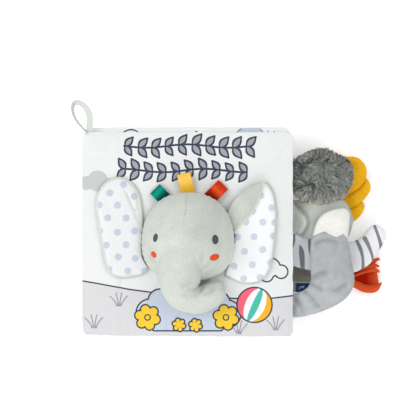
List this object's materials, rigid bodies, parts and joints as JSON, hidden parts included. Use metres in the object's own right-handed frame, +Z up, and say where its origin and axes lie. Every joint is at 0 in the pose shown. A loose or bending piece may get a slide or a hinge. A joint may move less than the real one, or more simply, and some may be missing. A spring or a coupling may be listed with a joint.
{
  "type": "crinkle cloth book",
  "caption": "Soft square cloth book for a baby with padded crinkle pages, a stuffed elephant head on the front cover and soft tails at the fore edge.",
  "frame": {"origin": "centre of the back cover's flat underside", "axes": "+X to the fore edge of the pages, +Y to the top of the pages, +Z up out of the front cover"},
  "size_m": [0.2977, 0.224, 0.0866],
  "materials": {
    "printed_cloth": "printed white polyester cloth, soft sheen",
    "batting": "polyester wadding",
    "crinkle_film": "thin clear crinkle film",
    "grey_velour": "short-pile velour",
    "dotted_satin": "white satin with pale blue dots",
    "dark_thread": "embroidery thread",
    "orange_thread": "embroidery thread",
    "green_ribbon": "satin ribbon",
    "yellow_ribbon": "satin ribbon",
    "red_ribbon": "satin ribbon",
    "pale_ribbon": "matt ribbon",
    "long_fur": "long-haired plush",
    "striped_cloth": "short plush with grey stripes",
    "yellow_velour": "short-pile velour",
    "orange_velour": "short-pile velour",
    "dark_grey_velour": "short-pile velour",
    "cream_velour": "short-pile velour",
    "strap_cloth": "woven strap",
    "label_cloth": "bare woven label"
  },
  "bodies": {
    "back_cover": {"back_cover_upper_cloth": "printed_cloth", "back_cover_lower_cloth": "printed_cloth", "back_cover_batting": "batting", "back_cover_crinkle_film": "crinkle_film", "back_cover_spine_tape": "printed_cloth"},
    "leaf_3": {"leaf_3_upper_cloth": "printed_cloth", "leaf_3_lower_cloth": "printed_cloth", "leaf_3_batting": "batting", "leaf_3_crinkle_film": "crinkle_film", "leaf_3_spine_tape": "printed_cloth"},
    "leaf_2": {"leaf_2_upper_cloth": "printed_cloth", "leaf_2_lower_cloth": "printed_cloth", "leaf_2_batting": "batting", "leaf_2_crinkle_film": "crinkle_film", "leaf_2_spine_tape": "printed_cloth"},
    "leaf_1": {"leaf_1_upper_cloth": "printed_cloth", "leaf_1_lower_cloth": "printed_cloth", "leaf_1_batting": "batting", "leaf_1_crinkle_film": "crinkle_film", "leaf_1_spine_tape": "printed_cloth"},
    "front_cover": {"front_cover_upper_cloth": "printed_cloth", "front_cover_lower_cloth": "printed_cloth", "front_cover_batting": "batting", "front_cover_crinkle_film": "crinkle_film", "front_cover_spine_tape": "printed_cloth", "head_skin": "grey_velour", "head_stuffing": "batting", "left_eye": "dark_thread", "right_eye": "dark_thread", "left_cheek": "orange_thread", "right_cheek": "orange_thread"},
    "trunk": {"trunk": "grey_velour"},
    "left_ear": {"left_ear_back": "grey_velour", "left_ear_front": "dotted_satin"},
    "right_ear": {"right_ear_back": "grey_velour", "right_ear_front": "dotted_satin"},
    "green_tag": {"green_tag": "green_ribbon"},
    "yellow_tag": {"yellow_tag": "yellow_ribbon"},
    "red_tag": {"red_tag": "red_ribbon"},
    "hanging_loop": {"hanging_loop": "pale_ribbon"},
    "tuft_tail": {"tuft_tail_base": "grey_velour", "tuft_tail_fur": "long_fur"},
    "striped_tail": {"striped_tail": "striped_cloth"},
    "scalloped_tail": {"scalloped_tail": "yellow_velour"},
    "flame_tail": {"flame_tail": "orange_velour"},
    "grey_tail": {"grey_tail_body": "dark_grey_velour", "grey_tail_tip": "cream_velour"},
    "side_strap": {"side_strap": "strap_cloth"},
    "care_label": {"care_label": "label_cloth"}
  },
  "joints": [
    {"name": "leaf_3_turn", "type": "hinge", "parent": "back_cover", "child": "leaf_3", "pos_m": [-0.0992, 0, 0.00915], "axis": [0, 1, 0], "range_deg": [-180, 0]},
    {"name": "leaf_2_turn", "type": "hinge", "parent": "leaf_3", "child": "leaf_2", "pos_m": [-0.0992, 0, 0.01715], "axis": [0, -1, 0], "range_deg": [0, 90]},
    {"name": "leaf_1_turn", "type": "hinge", "parent": "leaf_2", "child": "leaf_1", "pos_m": [-0.0992, 0, 0.02515], "axis": [0, 1, 0], "range_deg": [-110, 0]},
    {"name": "front_cover_turn", "type": "hinge", "parent": "leaf_1", "child": "front_cover", "pos_m": [-0.0992, 0, 0.03315], "axis": [0, -1, 0], "range_deg": [0, 180]},
    {"name": "trunk_lift", "type": "hinge", "parent": "front_cover", "child": "trunk", "pos_m": [0.0006, -0.0143, 0.08462], "axis": [-1, 0, 0], "range_deg": [0, 25]},
    {"name": "left_ear_flap", "type": "hinge", "parent": "front_cover", "child": "left_ear", "pos_m": [-0.0432, 0, 0.043], "axis": [0, 1, 0], "range_deg": [0, 40]},
    {"name": "right_ear_flap", "type": "hinge", "parent": "front_cover", "child": "right_ear", "pos_m": [0.04985, 0.02212, 0.043], "axis": [-0.1717, -0.9851, 0], "range_deg": [0, 25]},
    {"name": "green_tag_flap", "type": "hinge", "parent": "front_cover", "child": "green_tag", "pos_m": [-0.02076, 0.03377, 0.045], "axis": [0.712, 0.7022, 0], "range_deg": [0, 60]},
    {"name": "yellow_tag_flap", "type": "hinge", "parent": "front_cover", "child": "yellow_tag", "pos_m": [0.00031, 0.0399, 0.045], "axis": [0.9755, 0.2198, 0], "range_deg": [0, 60]},
    {"name": "red_tag_flap", "type": "hinge", "parent": "front_cover", "child": "red_tag", "pos_m": [0.02139, 0.03411, 0.045], "axis": [0.7022, -0.712, 0], "range_deg": [0, 60]},
    {"name": "hanging_loop_flap", "type": "hinge", "parent": "front_cover", "child": "hanging_loop", "pos_m": [-0.092, 0.0951, 0.0378], "axis": [1, 0, 0], "range_deg": [0, 50]},
    {"name": "tuft_tail_swing", "type": "hinge", "parent": "leaf_2", "child": "tuft_tail", "pos_m": [0.1048, 0.01078, 0.0212], "axis": [0, 0, 1], "range_deg": [-12, 3]},
    {"name": "striped_tail_swing", "type": "hinge", "parent": "leaf_2", "child": "striped_tail", "pos_m": [0.1048, -0.0193, 0.0212], "axis": [0, 0, 1], "range_deg": [-8, 8]},
    {"name": "scalloped_tail_swing", "type": "hinge", "parent": "leaf_3", "child": "scalloped_tail", "pos_m": [0.1048, 0.04648, 0.0132], "axis": [0, 0, 1], "range_deg": [-8, 8]},
    {"name": "flame_tail_swing", "type": "hinge", "parent": "leaf_3", "child": "flame_tail", "pos_m": [0.1048, -0.02025, 0.0132], "axis": [0, 0, 1], "range_deg": [-8, 8]},
    {"name": "grey_tail_flap", "type": "hinge", "parent": "leaf_1", "child": "grey_tail", "pos_m": [0.0968, -0.0681, 0.02997], "axis": [0, -1, 0], "range_deg": [0, 55]},
    {"name": "side_strap_flap", "type": "hinge", "parent": "back_cover", "child": "side_strap", "pos_m": [0.0976, -0.042, 0.0045], "axis": [0, -1, 0], "range_deg": [0, 50]},
    {"name": "care_label_flap", "type": "hinge", "parent": "back_cover", "child": "care_label", "pos_m": [0.0976, -0.0514, 0.0045], "axis": [0, -1, 0], "range_deg": [0, 50]}
  ]
}
